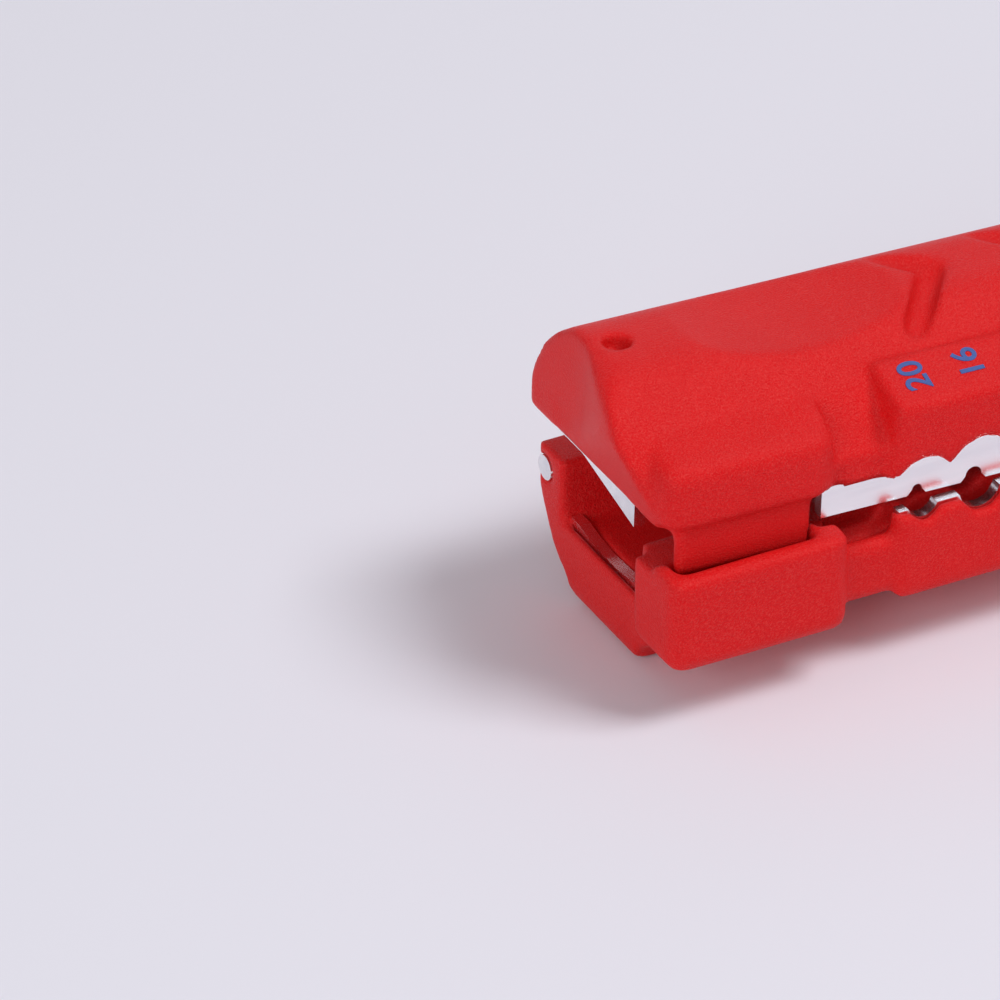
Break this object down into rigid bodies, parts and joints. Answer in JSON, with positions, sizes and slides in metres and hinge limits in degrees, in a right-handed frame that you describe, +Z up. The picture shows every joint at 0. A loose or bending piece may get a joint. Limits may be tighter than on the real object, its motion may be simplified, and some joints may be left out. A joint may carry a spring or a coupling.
{
  "type": "cable jacket stripper",
  "caption": "Hinged two-shell hand tool that strips flat and round cable in a front mouth and wire cores at notched side blades, with spring opening and a sliding lock",
  "frame": {"origin": "on the flat underside of the lower shell, below the middle of the tool", "axes": "X runs from the nose (-X) to the hinge (+X), Y across the tool with the notched side at -Y, Z up"},
  "size_m": [0.1207, 0.027, 0.0275],
  "materials": {
    "shell_red": "fine moulded texture, satin",
    "lock_red": "fine moulded texture, satin",
    "blade_steel": "polished and ground",
    "pin_steel": "ground bright",
    "screw_steel": "turned, zinc plated",
    "spring_steel": "drawn wire"
  },
  "bodies": {
    "lower": {"lower_shell": "shell_red", "hinge_pin": "pin_steel", "hinge_pin_clip": "spring_steel", "hinge_washers": "screw_steel", "opening_spring": "spring_steel", "lower_wire_blade": "blade_steel", "lower_wire_blade_screws": "screw_steel", "lower_jacket_blade": "blade_steel", "lower_jacket_blade_pins": "pin_steel", "cheek_pin": "pin_steel", "lock_detent_ball": "pin_steel", "lock_detent_spring": "spring_steel"},
    "upper": {"upper_shell": "shell_red", "upper_wire_blade": "blade_steel", "upper_wire_blade_screws": "screw_steel", "upper_jacket_blade": "blade_steel", "upper_jacket_blade_pins": "pin_steel", "lock_keeper_pin": "pin_steel", "hinge_bush": "screw_steel"},
    "lock": {"lock_slider": "lock_red"}
  },
  "joints": [
    {"name": "jaw_hinge", "type": "hinge", "parent": "lower", "child": "upper", "pos_m": [0.05, 0, 0.0121], "axis": [0, 1, 0], "range_deg": [-1.75, 12], "stiffness_Nm_per_rad": 0.5, "springref_deg": 1.15, "deforming": ["opening_spring"]},
    {"name": "lock_slide", "type": "slide", "parent": "lower", "child": "lock", "axis": [-1, 0, 0], "range_m": [0, 0.005]}
  ]
}
